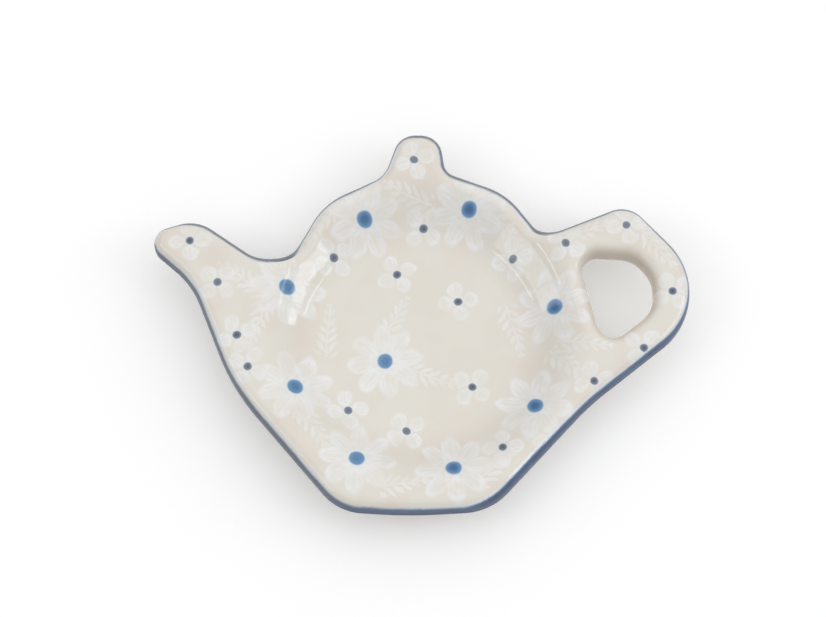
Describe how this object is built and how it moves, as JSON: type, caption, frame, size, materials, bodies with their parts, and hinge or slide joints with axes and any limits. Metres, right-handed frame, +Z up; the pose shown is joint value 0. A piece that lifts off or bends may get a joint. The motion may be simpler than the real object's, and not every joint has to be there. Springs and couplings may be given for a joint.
{
  "type": "tea bag rest",
  "caption": "Shallow glazed stoneware dish in the outline of a teapot, with a round well for a wet tea bag, a handle loop and a bare foot ring.",
  "frame": {"origin": "middle of the foot ring on the table plane, under the middle of the round well", "axes": "+X to the handle, -X to the spout, +Y to the lid knob, +Z up out of the well"},
  "size_m": [0.1397, 0.1037, 0.0145],
  "materials": {
    "fired_clay": "bare fired stoneware, matt",
    "cream_glaze": "glossy cream glaze",
    "blue_edge_glaze": "glossy grey-blue glaze"
  },
  "bodies": {
    "root": {"stoneware_body": "fired_clay", "top_glaze": "cream_glaze", "edge_band": "blue_edge_glaze", "underside_glaze": "cream_glaze", "foot_recess_glaze": "cream_glaze"}
  },
  "joints": []
}
